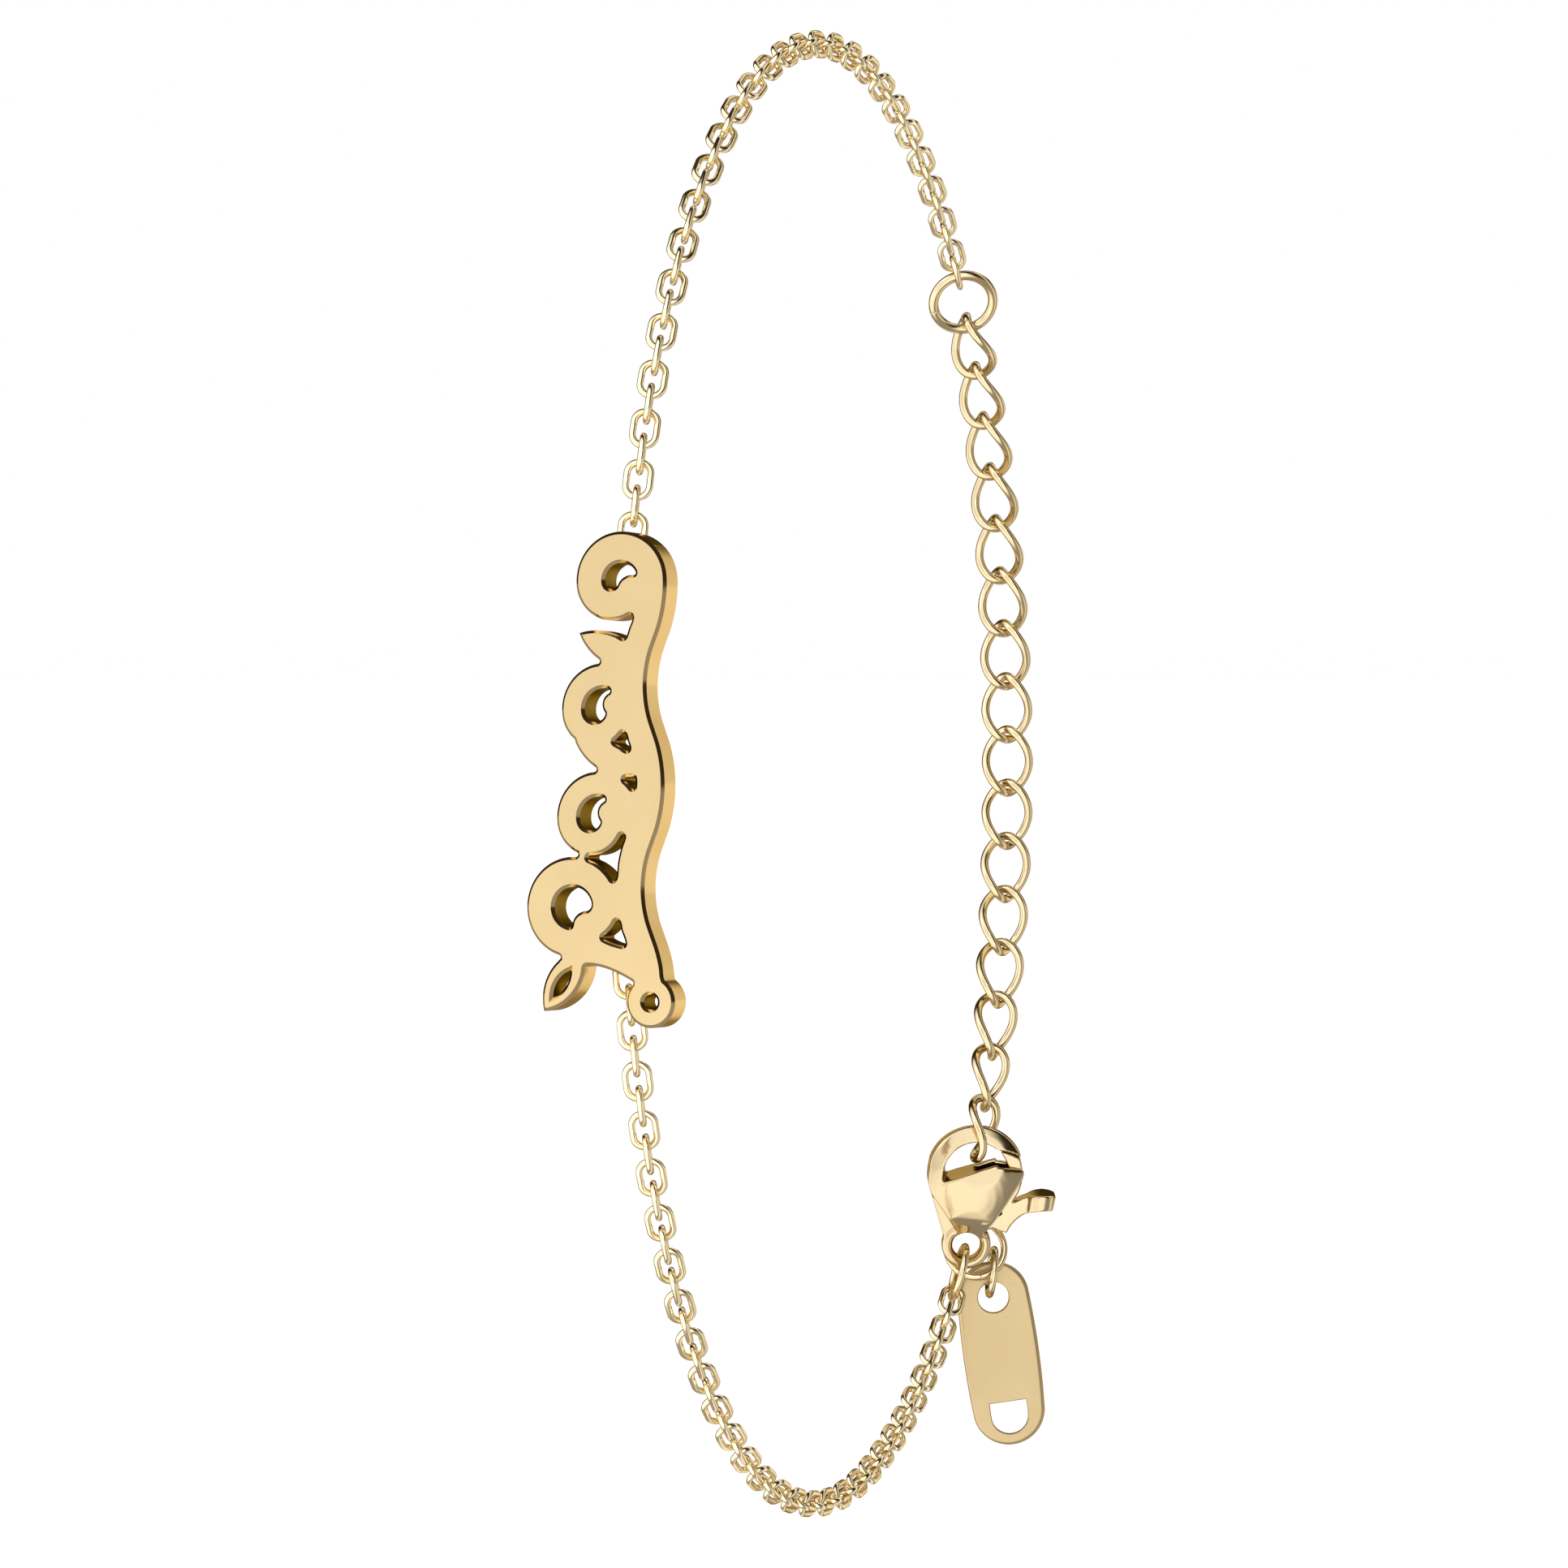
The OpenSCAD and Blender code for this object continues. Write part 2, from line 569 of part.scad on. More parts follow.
// Tag: a flat oblong with rounded edges, with its origin at the round hole's centre
tag_turn = [0, -8, 23];
tag_point = base_eye_point + turned([2.1, 1.3, -3.3]);
module tag() color(pale_gold) translate(tag_point) rotate(tag_turn) {
    low = tag_width - tag_length;
    difference() {
        union() {
            for (z = [low, 0]) translate([0, 0, z]) rotate([90, 0, 0])
                rotate_extrude($fn = round_sides) tag_rim();
            translate([0, 0, low]) linear_extrude(-low) {
                tag_rim();
                mirror([1, 0]) tag_rim();
            }
        }
        rotate([90, 0, 0]) cylinder(h = 4 * tag_thickness, r = tag_hole_radius,
            center = true, $fn = round_sides);
        translate([0, 0, tag_width / 2 - tag_length + tag_window_inset])
            slab(4 * tag_thickness) tag_window();
    }
}
// D-shaped hole with its straight side up
module tag_window() {
    half = tag_window_width / 2;
    intersection() {
        circle(r = half, $fn = round_sides);
        translate([-half, -half]) square([tag_window_width, half]);
    }
    translate([-half, 0]) square([tag_window_width, tag_window_height]);
}
// Half of the tag's section, with its rounded edge
module tag_rim() {
    flat = tag_width / 2 - tag_thickness / 2;
    translate([0, -tag_thickness / 2]) square([flat, tag_thickness]);
    translate([flat, 0]) intersection() {
        circle(d = tag_thickness, $fn = wire_sides);
        translate([0, -tag_thickness]) square([tag_thickness, 2 * tag_thickness]);
    }
}

nameplate();
upper_chain();
jump_ring();
for (i = [1 : curb_links])
    extender_link(i - 1);
clasp_body();
clasp_lever();
chain_ring();
lower_chain();
tag_link_ring();
tag_ring();
tag();
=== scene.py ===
"""Dresses the fastened nameplate bracelet: its looks, its light and the camera.

Lengths in the classes are millimetres, and every finished mesh is in metres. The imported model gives
each piece's place; this script gives the pieces their smooth forms and their gold finishes.
"""

from __future__ import annotations

import logging
import math
from dataclasses import dataclass, field
from enum import Enum
from typing import Any

import bmesh
import bpy
import numpy as np
from mathutils import Matrix, Vector
from mathutils.geometry import delaunay_2d_cdt

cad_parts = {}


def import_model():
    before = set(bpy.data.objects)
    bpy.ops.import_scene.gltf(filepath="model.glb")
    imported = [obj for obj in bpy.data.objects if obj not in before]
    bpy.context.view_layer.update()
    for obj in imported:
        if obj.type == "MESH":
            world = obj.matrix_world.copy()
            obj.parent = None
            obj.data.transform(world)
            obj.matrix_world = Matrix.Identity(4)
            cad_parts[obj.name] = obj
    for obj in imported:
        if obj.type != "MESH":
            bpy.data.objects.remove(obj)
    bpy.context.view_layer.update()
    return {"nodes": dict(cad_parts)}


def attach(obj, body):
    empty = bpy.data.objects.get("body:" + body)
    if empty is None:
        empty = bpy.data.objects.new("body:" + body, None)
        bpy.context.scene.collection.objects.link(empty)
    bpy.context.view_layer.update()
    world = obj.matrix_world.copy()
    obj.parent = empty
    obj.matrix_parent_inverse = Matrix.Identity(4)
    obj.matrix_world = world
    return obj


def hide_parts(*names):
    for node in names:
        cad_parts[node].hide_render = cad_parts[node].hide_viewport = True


MM = 0.001
MICROMETRE = 1e-6
MERGE_DISTANCE = 0.002  # millimetres
SHARP_EDGE = 35.0  # degrees
ALIGNED = 0.9999  # cosine of two directions that count as the same
LARGEST_TRIANGLES = 40  # among which the widest flat face is looked for
TINY_AREA = 1e-12
LEAST_MITRE = 0.45  # cosine that keeps sharp corners from growing into spikes
BRACELET = "bracelet"
LEVER = "clasp_lever"
RING_SEAMS = {  # where each ring's ends meet, in degrees
    "jump_ring": 150.0, "chain_ring": 40.0, "tag_link_ring": 80.0, "tag_ring": 120.0,
}
CURB_LINK = {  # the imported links' sizes, with finer steps
    "length": 3.63, "width": 2.47, "wire": 0.48, "twist": 90.0, "seam": 0.06, "steps": 72,
    "sides": 20,
}
log = logging.getLogger("bracelet")

Colour = tuple[float, float, float]


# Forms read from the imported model


@dataclass
class Form:
    """Points in millimetres, and triangles of them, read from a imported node."""

    points: np.ndarray
    triangles: np.ndarray

    @classmethod
    def of_node(cls, node: bpy.types.Object) -> Form:
        """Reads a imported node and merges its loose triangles.

        Args:
            node: the node's object, whose mesh is left as it is.

        Returns:
            The merged form.
        """
        merged = bmesh.new()
        merged.from_mesh(node.data)
        bmesh.ops.remove_doubles(merged, verts=merged.verts, dist=MERGE_DISTANCE * MM)
        points = np.array([vertex.co for vertex in merged.verts]) / MM
        triangles = np.array([[corner.index for corner in face.verts] for face in merged.faces])
        merged.free()
        return cls(points, triangles)

    def loose_forms(self) -> list[Form]:
        """Splits the form into its separate shells.

        Returns:
            One form for each shell, in the order of their points.
        """
        label = np.arange(len(self.points))
        while True:
            lowest = label[self.triangles].min(axis=1)
            spread = label.copy()
            np.minimum.at(spread, self.triangles.ravel(), np.repeat(lowest, 3))
            spread = spread[spread]
            if (spread == label).all():
                break
            label = spread
        owner = label[self.triangles[:, 0]]
        return [
            Form(self.points, self.triangles[owner == value]) for value in np.unique(owner)
        ]

    def used_points(self) -> np.ndarray:
        """The points that the triangles use."""
        return self.points[np.unique(self.triangles)]

    def cross_products(self) -> np.ndarray:
        """The triangles' normals, each as long as twice its area."""
        a, b, c = (self.points[self.triangles[:, i]] for i in range(3))
        return np.cross(b - a, c - a)

    def place(self) -> Place:
        """The form's centre and main directions, weighed by area.

        Returns:
            The place, with its length along the form's longest direction.
        """
        area = np.linalg.norm(self.cross_products(), axis=1)
        middles = self.points[self.triangles].mean(axis=1)
        centre = (middles * area[:, None]).sum(axis=0) / area.sum()
        spread = middles - centre
        _, axes = np.linalg.eigh((spread * area[:, None]).T @ spread)
        length, width = axes[:, 2], axes[:, 1]
        return Place(centre, np.cross(width, length), width, length)


@dataclass
class Place:
    """A centre and three square directions: depth, width and length."""

    centre: np.ndarray
    depth: np.ndarray
    width: np.ndarray
    length: np.ndarray

    def local(self, points: np.ndarray) -> np.ndarray:
        """Points as seen from this place, as (depth, width, length)."""
        return (points - self.centre) @ np.array([self.depth, self.width, self.length]).T

    def world(self, points: np.ndarray) -> np.ndarray:
        """Points given as (depth, width, length), in the row frame."""
        return self.centre + points @ np.array([self.depth, self.width, self.length])


def unit(vector: np.ndarray) -> np.ndarray:
    """The vector with length 1."""
    return vector / np.linalg.norm(vector)


def piece_from(name: str, points: np.ndarray, faces: list | np.ndarray) -> bpy.types.Object:
    """Makes a mesh object at the origin.

    Args:
        name: the piece's name.
        points: its points in millimetres, in the row frame.
        faces: its faces, as rows of point numbers.

    Returns:
        The linked object.
    """
    mesh = bpy.data.meshes.new(name)
    mesh.from_pydata((np.asarray(points) * MM).tolist(), [], [list(map(int, f)) for f in faces])
    mesh.validate()
    piece = bpy.data.objects.new(name, mesh)
    bpy.context.scene.collection.objects.link(piece)
    return piece


def plain_mesh_of(source: bpy.types.Object, name: str) -> bpy.types.Object:
    """Turns an object with modifiers, drawn in millimetres, into a plain piece in metres.

    Args:
        source: the drawn object, which is removed.
        name: the piece's name.

    Returns:
        The plain piece at the origin.
    """
    graph = bpy.context.evaluated_depsgraph_get()
    mesh = bpy.data.meshes.new_from_object(source.evaluated_get(graph), depsgraph=graph)
    mesh.name = name
    mesh.transform(Matrix.Scale(MM, 4))
    bpy.data.objects.remove(source)
    piece = bpy.data.objects.new(name, mesh)
    bpy.context.scene.collection.objects.link(piece)
    return piece


def seat(piece: bpy.types.Object, body: str, slot: str, *nodes: str) -> None:
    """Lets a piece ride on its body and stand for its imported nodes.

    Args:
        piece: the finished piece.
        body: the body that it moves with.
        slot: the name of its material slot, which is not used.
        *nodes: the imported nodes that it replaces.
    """
    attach(piece, body)
    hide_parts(*nodes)
    triangles = sum(len(face.vertices) - 2 for face in piece.data.polygons)
    log.info("%s: %d triangles, stands for %s", piece.name, triangles, ", ".join(nodes))


# Node graphs written as expressions


@dataclass
class Shade:
    """A socket whose operators add Math nodes to its graph."""

    graph: Graph
    socket: bpy.types.NodeSocket

    def _math(self, operation: str, *values: Any) -> Shade:
        """Adds one Math node."""
        return self.graph.math(operation, *values)

    def __add__(self, other: Any) -> Shade:
        """The sum of this and another value."""
        return self._math("ADD", self, other)

    def __radd__(self, other: Any) -> Shade:
        """The sum of another value and this."""
        return self._math("ADD", other, self)

    def __sub__(self, other: Any) -> Shade:
        """This less another value."""
        return self._math("SUBTRACT", self, other)

    def __rsub__(self, other: Any) -> Shade:
        """Another value less this."""
        return self._math("SUBTRACT", other, self)

    def __mul__(self, other: Any) -> Shade:
        """This times another value."""
        return self._math("MULTIPLY", self, other)

    def __truediv__(self, other: Any) -> Shade:
        """This divided by another value."""
        return self._math("DIVIDE", self, other)


class Graph:
    """Adds nodes to a material's, a world's or a modifier's node tree."""

    def __init__(self, tree: bpy.types.NodeTree) -> None:
        """Starts with an empty tree."""
        self.tree = tree
        tree.nodes.clear()

    def node(self, kind: str, settings: dict[str, Any] | None = None, **inputs: Any) -> Any:
        """Adds a node.

        Args:
            kind: the node's type.
            settings: its own settings, which are set before its sockets.
            **inputs: values or links of its sockets, by name with _ for a space.

        Returns:
            The new node.
        """
        added = self.tree.nodes.new(kind)
        for key, value in (settings or {}).items():
            setattr(added, key, value)
        for key, value in inputs.items():
            self.feed(added.inputs[key.replace("_", " ")], value)
        return added

    def feed(self, socket: bpy.types.NodeSocket, value: Any) -> None:
        """Links a socket, or sets its value.

        Args:
            socket: the input.
            value: a shade or an output to link, or else a plain value.
        """
        if isinstance(value, Shade):
            self.tree.links.new(value.socket, socket)
        elif isinstance(value, bpy.types.NodeSocket):
            self.tree.links.new(value, socket)
        else:
            socket.default_value = value

    def out(self, added: Any, name: str | int = 0) -> Shade:
        """One of a node's outputs."""
        return Shade(self, added.outputs[name])

    def math(self, operation: str, *values: Any) -> Shade:
        """Adds a Math node.

        Args:
            operation: what it works out.
            *values: its inputs in order.

        Returns:
            The result.
        """
        added = self.node("ShaderNodeMath", {"operation": operation})
        for socket, value in zip(added.inputs, values):
            self.feed(socket, value)
        return self.out(added)

    def vector_math(self, operation: str, first: Any, second: Any = None) -> Any:
        """Adds a Vector Math node.

        Args:
            operation: what it works out.
            first: its first vector.
            second: its second vector, where it needs one.

        Returns:
            The new node, because its results differ with the operation.
        """
        added = self.node("ShaderNodeVectorMath", {"operation": operation})
        self.feed(added.inputs[0], first)
        if second is not None:
            self.feed(added.inputs[1], second)
        return added

    def ramp(self, value: Shade, low: float, high: float) -> Shade:
        """A smooth step.

        Args:
            value: the value.
            low: where the step is 0.
            high: where the step is 1.

        Returns:
            The step at the value.
        """
        added = self.node(
            "ShaderNodeMapRange", {"interpolation_type": "SMOOTHSTEP"},
            From_Min=low, From_Max=high,
        )
        self.feed(added.inputs["Value"], value)
        return self.out(added)

    def mix(self, share: Any, first: Any, second: Any) -> Shade:
        """Mixes two colours.

        Args:
            share: how much of the second there is, from 0 to 1.
            first: the first colour.
            second: the second colour.

        Returns:
            The mixed colour.
        """
        added = self.node("ShaderNodeMix", {"data_type": "RGBA"})
        self.feed(added.inputs[0], share)
        self.feed(added.inputs[6], first)
        self.feed(added.inputs[7], second)
        return self.out(added, 2)

    def colour_ramp(self, value: Shade, stops: list[tuple[float, Colour]]) -> Shade:
        """Colours along a value from 0 to 1.

        Args:
            value: the value.
            stops: places and colours, in order.

        Returns:
            The colour at the value.
        """
        added = self.node("ShaderNodeValToRGB")
        band = added.color_ramp
        for place, _ in stops[2:]:
            band.elements.new(place)
        for element, (place, colour) in zip(band.elements, stops):
            element.position = place
            element.color = rgba(colour)
        self.feed(added.inputs[0], value)
        return self.out(added)

    def noise(self, where: Any, scale: float, detail: float = 2.0) -> Shade:
        """Adds noise around 0.5.

        Args:
            where: the place that it is read at.
            scale: its features per metre.
            detail: how many finer layers it has.

        Returns:
            The noise.
        """
        return self.out(self.node(
            "ShaderNodeTexNoise", None, Vector=where, Scale=scale, Detail=detail,
        ))


def rgba(colour: Colour) -> tuple[float, float, float, float]:
    """The colour with full opacity."""
    return (*colour, 1.0)


# Gold finishes


class Brush(Enum):
    """Direction of the fine lines that polishing leaves."""

    NONE = (1.0, 1.0, 1.0)
    ALONG_Z = (1.0, 1.0, 0.06)


@dataclass(frozen=True)
class GoldFinish:
    """A plated gold surface.

    The tone drifts a little over millimetres, the gloss changes in soft patches, and fine lines
    or grain lie in the surface. The scales are in features per metre.
    """

    name: str
    tone: Colour
    deep_tone: Colour
    edge_tint: Colour
    roughness: float
    patchiness: float
    grain: float  # height of the grain, in micrometres
    grain_size: float = 0.12  # millimetres
    brush: Brush = Brush.NONE
    drift_scale: float = 260.0
    drift_share: float = 0.55  # of the deep tone where the drift is strongest
    patch_scale: float = 900.0
    speck_scale: float = 5200.0
    speck_share: float = 0.25  # of the deep tone in a speck
    speck_dullness: float = 0.05  # roughness that a speck adds

    def material(self) -> bpy.types.Material:
        """Builds the finish.

        Returns:
            The new material.
        """
        material = bpy.data.materials.new(self.name)
        material.use_nodes = True
        graph = Graph(material.node_tree)
        where = graph.out(graph.node("ShaderNodeTexCoord"), "Object")
        drift = graph.ramp(graph.noise(where, self.drift_scale, 3.0), 0.32, 0.7)
        patches = graph.noise(where, self.patch_scale, 3.0)
        lined = graph.out(graph.vector_math("MULTIPLY", where, self.brush.value))
        grain = graph.noise(lined, 1.0 / (self.grain_size * MM), 4.0)
        specks = graph.ramp(graph.noise(where, self.speck_scale, 1.0), 0.62, 0.78)
        depth = drift * self.drift_share + specks * self.speck_share
        tone = graph.mix(depth, rgba(self.tone), rgba(self.deep_tone))
        bump = graph.node(
            "ShaderNodeBump", None, Strength=1.0, Distance=self.grain * MICROMETRE, Height=grain,
        )
        gloss = (
            self.roughness + (patches - 0.5) * self.patchiness + specks * self.speck_dullness
        )
        shader = graph.node(
            "ShaderNodeBsdfPrincipled", None, Metallic=1.0, Base_Color=tone, Roughness=gloss,
            Normal=graph.out(bump), Specular_Tint=rgba(self.edge_tint),
        )
        output = graph.node("ShaderNodeOutputMaterial")
        graph.feed(output.inputs["Surface"], shader.outputs[0])
        material.diffuse_color = rgba(self.tone)
        return material


@dataclass(frozen=True)
class Finishes:
    """The bracelet's finishes, one for each kind of piece, and one that paints shade on the plate's
    hole walls.
    """

    plate: GoldFinish = GoldFinish(
        "polished_plate", (0.86, 0.66, 0.36), (0.81, 0.61, 0.32), (0.66, 0.48, 0.24),
        roughness=0.13, patchiness=0.06, grain=0.10,
    )
    # Dark tone painted on the plate's hole walls as the shade inside the openwork; the rougher gloss
    # and grain are the walls' own.
    pierced: GoldFinish = GoldFinish(
        "hole_walls_painted_shade", (0.30, 0.20, 0.09), (0.16, 0.10, 0.04), (0.5, 0.4, 0.2),
        roughness=0.30, patchiness=0.10, grain=1.2, grain_size=0.10,
    )
    # Its tone is painted lighter than the other gold pieces': painted light that offsets the shade
    # between the links.
    chain: GoldFinish = GoldFinish(
        "chain_gold_painted_lighter", (1.0, 0.88, 0.61), (0.97, 0.83, 0.54), (0.55, 0.38, 0.17),
        roughness=0.13, patchiness=0.08, grain=0.12,
    )
    extender: GoldFinish = GoldFinish(
        "extender_gold", (0.80, 0.67, 0.43), (0.72, 0.58, 0.34), (0.55, 0.38, 0.17),
        roughness=0.13, patchiness=0.08, grain=0.12,
    )
    ring: GoldFinish = GoldFinish(
        "ring_gold", (0.82, 0.68, 0.44), (0.74, 0.59, 0.35), (0.55, 0.38, 0.17),
        roughness=0.12, patchiness=0.06, grain=0.08,
    )
    clasp: GoldFinish = GoldFinish(
        "cast_clasp_gold", (0.73, 0.59, 0.37), (0.67, 0.525, 0.30), (0.55, 0.38, 0.17),
        roughness=0.12, patchiness=0.05, grain=0.16, grain_size=0.2,
    )
    tag: GoldFinish = GoldFinish(
        "satin_tag_gold", (0.59, 0.45, 0.25), (0.55, 0.41, 0.22), (0.66, 0.50, 0.28),
        roughness=0.34, patchiness=0.05, grain=0.35, grain_size=0.08, brush=Brush.ALONG_Z,
    )


# Plates: the nameplate and the tag


def smoothed_loop(points: np.ndarray, step: float, corner: float = 32.0) -> np.ndarray:
    """Rounds a closed polygon into a smooth curve that still goes through its points.

    Args:
        points: the polygon's corners in order, in millimetres.
        step: the longest distance between the new points.
        corner: the turn in degrees from which a corner stays sharp.

    Returns:
        The new closed loop.
    """
    count = len(points)
    before, after = np.roll(points, 1, axis=0), np.roll(points, -1, axis=0)
    first, second = points - before, after - points
    cross = first[:, 0] * second[:, 1] - first[:, 1] * second[:, 0]
    turn = np.degrees(np.abs(np.arctan2(cross, (first * second).sum(axis=1))))
    sharp = turn > corner
    first_length = np.linalg.norm(first, axis=1)[:, None]
    second_length = np.linalg.norm(second, axis=1)[:, None]
    slope = first / first_length * second_length + second / second_length * first_length
    slope /= np.linalg.norm(slope, axis=1)[:, None]
    made = []
    for i in range(count):
        j = (i + 1) % count
        a, b = points[i], points[j]
        length = second_length[i, 0]
        chord = (b - a) / length
        leave = chord if sharp[i] else slope[i]
        arrive = chord if sharp[j] else slope[j]
        pieces = max(1, math.ceil(length / step))
        for t in np.arange(pieces) / pieces:
            made.append(
                (2 * t**3 - 3 * t**2 + 1) * a + (t**3 - 2 * t**2 + t) * length * leave
                + (3 * t**2 - 2 * t**3) * b + (t**3 - t**2) * length * arrive
            )
    return np.array(made)


def inward_shift(loop: np.ndarray) -> np.ndarray:
    """Works out which way a loop's points move when its edge is set inward.

    Args:
        loop: the loop's points in order, with the metal on its left.

    Returns:
        Each point's move for an inset of 1.
    """
    first = loop - np.roll(loop, 1, axis=0)
    second = np.roll(loop, -1, axis=0) - loop
    first /= np.linalg.norm(first, axis=1)[:, None]
    second /= np.linalg.norm(second, axis=1)[:, None]
    left = np.stack([-first[:, 1] - second[:, 1], first[:, 0] + second[:, 0]], axis=1)
    left /= np.linalg.norm(left, axis=1)[:, None]
    share = left[:, 0] * -first[:, 1] + left[:, 1] * first[:, 0]
    return left / np.maximum(share, LEAST_MITRE)[:, None]


@dataclass
class Slab:
    """A flat plate cut along closed loops, with rounded or chamfered edges.

    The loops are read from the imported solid's front face, so the outline is the solid's own.
    """

    form: Form
    edge_radius: float
    rim_growth: float = 0.0  # how far the outline lies outside the front face's own edge
    rim_radius: float = 0.0  # of the outline's edge, where it differs from the holes' edges
    loop_step: float = 0.12
    least_step: float = 0.02  # distance between outline points, below which one is left out
    face_strip: float = 0.03  # width of the flat strip inside the edge
    edge_steps: int = 4  # where it is 1, the edge is a flat chamfer
    place: Place = field(init=False)
    half: float = field(init=False)
    loops: list[np.ndarray] = field(init=False)

    def __post_init__(self) -> None:
        """Finds the plate's place, its thickness and the loops of its front face."""
        products = self.form.cross_products()
        area = np.linalg.norm(products, axis=1)
        directions = products / np.maximum(area, TINY_AREA)[:, None]
        widest = max(
            np.argsort(-area)[:LARGEST_TRIANGLES],
            key=lambda i: area[directions @ directions[i] > ALIGNED].sum(),
        )
        front = directions[widest] * (-1 if directions[widest][1] > 0 else 1)
        up = unit(np.array([0.0, 0.0, 1.0]) - front[2] * front)
        high, faces = self._flat_face(directions, area, front)
        low, _ = self._flat_face(directions, area, -front)
        self.half = (high + low) / 2
        centre = self.form.points[np.unique(faces)].mean(axis=0)
        centre = centre + ((high - low) / 2 - centre @ front) * front
        self.place = Place(centre, front, np.cross(up, front), up)
        self.loops = self._edge_loops(faces)

    def _flat_face(
        self, directions: np.ndarray, area: np.ndarray, facing: np.ndarray
    ) -> tuple[float, np.ndarray]:
        """The largest flat face that looks one way.

        Args:
            directions: the triangles' directions.
            area: the triangles' areas.
            facing: the way that the face looks.

        Returns:
            Its height that way, and its triangles.
        """
        chosen = directions @ facing > ALIGNED
        height = np.round(self.form.points[self.form.triangles].mean(axis=1) @ facing, 2)
        levels = np.unique(height[chosen])
        level = levels[np.argmax([area[chosen & (height == h)].sum() for h in levels])]
        level = float(np.median(
            self.form.points[self.form.triangles[chosen & (height == level)]] @ facing
        ))
        near = np.abs(self.form.points @ facing - level) < 2 * MERGE_DISTANCE
        return level, self.form.triangles[near[self.form.triangles].all(axis=1)]

    def _edge_loops(self, triangles: np.ndarray) -> list[np.ndarray]:
        """Walks round some triangles.

        Args:
            triangles: the flat face's triangles.

        Returns:
            Their closed outlines in the place's width and length, with the metal on their left.
        """
        edges = {
            (int(t[i]), int(t[(i + 1) % 3])) for t in triangles for i in range(3)
        }
        onward = {a: b for a, b in edges if (b, a) not in edges}
        loops = []
        while onward:
            start, here = onward.popitem()
            walked = [start]
            while here != start:
                walked.append(here)
                here = onward.pop(here)
            flat = self.place.local(self.form.points[walked])[:, 1:]
            apart = np.linalg.norm(flat - np.roll(flat, 1, axis=0), axis=1)
            loops.append(smoothed_loop(flat[apart > self.least_step], self.loop_step))
        return loops

    def shell(self) -> Shell:
        """Builds the closed plate.

        Returns:
            The shell, with the holes' wall faces listed in it.
        """
        shell = Shell()
        quarter = np.radians(np.linspace(0.0, 90.0, self.edge_steps + 1))
        rims = []
        for loop in self.loops:
            outer = loop_area(loop) > 0
            radius = (self.rim_radius if outer else 0.0) or self.edge_radius
            growth = self.rim_growth if outer else 0.0
            inset = np.append(radius * (1 - np.cos(quarter)), radius + self.face_strip) - growth
            height = np.append(self.half - radius + radius * np.sin(quarter), self.half)
            insets = np.concatenate([inset[::-1], inset])
            heights = np.concatenate([-height[::-1], height])
            shift = inward_shift(loop)
            rings = [
                np.column_stack([np.full(len(loop), h), loop + i * shift])
                for i, h in zip(insets, heights)
            ]
            first = shell.add(self.place.world(np.concatenate(rings)))
            before = len(shell.faces)
            shell.join_rings(first, len(loop), len(rings), closed=False)
            # The holes' wall faces, listed here, take the finish with painted shade.
            if not outer:
                walls = self.edge_steps + 1
                shell.walls += range(before + walls * len(loop), before + (walls + 1) * len(loop))
            rims.append((first, first + len(loop) * (len(rings) - 1), rings[-1][:, 1:]))
        self._close_faces(shell, rims)
        return shell

    def _close_faces(self, shell: Shell, rims: list[tuple[int, int, np.ndarray]]) -> None:
        """Fills the flat back and front faces between the loops.

        Args:
            shell: the shell, which already has the points.
            rims: for each loop its first back point, its first front point and its flat places.
        """
        flat, edges, number = [], [], []
        for i, (_, _, loop) in enumerate(rims):
            start = len(flat)
            flat += [Vector(point) for point in loop.tolist()]
            edges += [(start + j, start + (j + 1) % len(loop)) for j in range(len(loop))]
            number += [(i, j) for j in range(len(loop))]
        places, _, faces, origins, _, _ = delaunay_2d_cdt(flat, edges, [], 2, 1e-6)
        corners_of = np.array([[places[v] for v in face] for face in faces])
        solid = inside_loops(corners_of.mean(axis=1), [loop for _, _, loop in rims])
        for face, kept in zip(faces, solid):
            if not kept:
                continue
            corners = [number[origins[v][0]] for v in face]
            a, b, c = (rims[i][2][j] for i, j in corners[:3])
            if (b - a)[0] * (c - a)[1] < (b - a)[1] * (c - a)[0]:
                corners.reverse()
            shell.faces.append([rims[i][1] + j for i, j in corners])
            shell.faces.append([rims[i][0] + j for i, j in reversed(corners)])


def loop_area(loop: np.ndarray) -> float:
    """The loop's area, negative round a hole."""
    after = np.roll(loop, -1, axis=0)
    return float((loop[:, 0] * after[:, 1] - loop[:, 1] * after[:, 0]).sum() / 2)


def inside_loops(points: np.ndarray, loops: list[np.ndarray]) -> np.ndarray:
    """Tells which points lie on the metal.

    Args:
        points: flat places.
        loops: the outline and its holes.

    Returns:
        True for a point inside the outline and in none of its holes.
    """
    crossings = np.zeros(len(points), int)
    for loop in loops:
        for a, b in zip(loop, np.roll(loop, -1, axis=0)):
            if a[1] == b[1]:
                continue
            level = (a[1] > points[:, 1]) != (b[1] > points[:, 1])
            reach = a[0] + (points[:, 1] - a[1]) * (b[0] - a[0]) / (b[1] - a[1])
            crossings += level & (points[:, 0] < reach)
    return crossings % 2 == 1


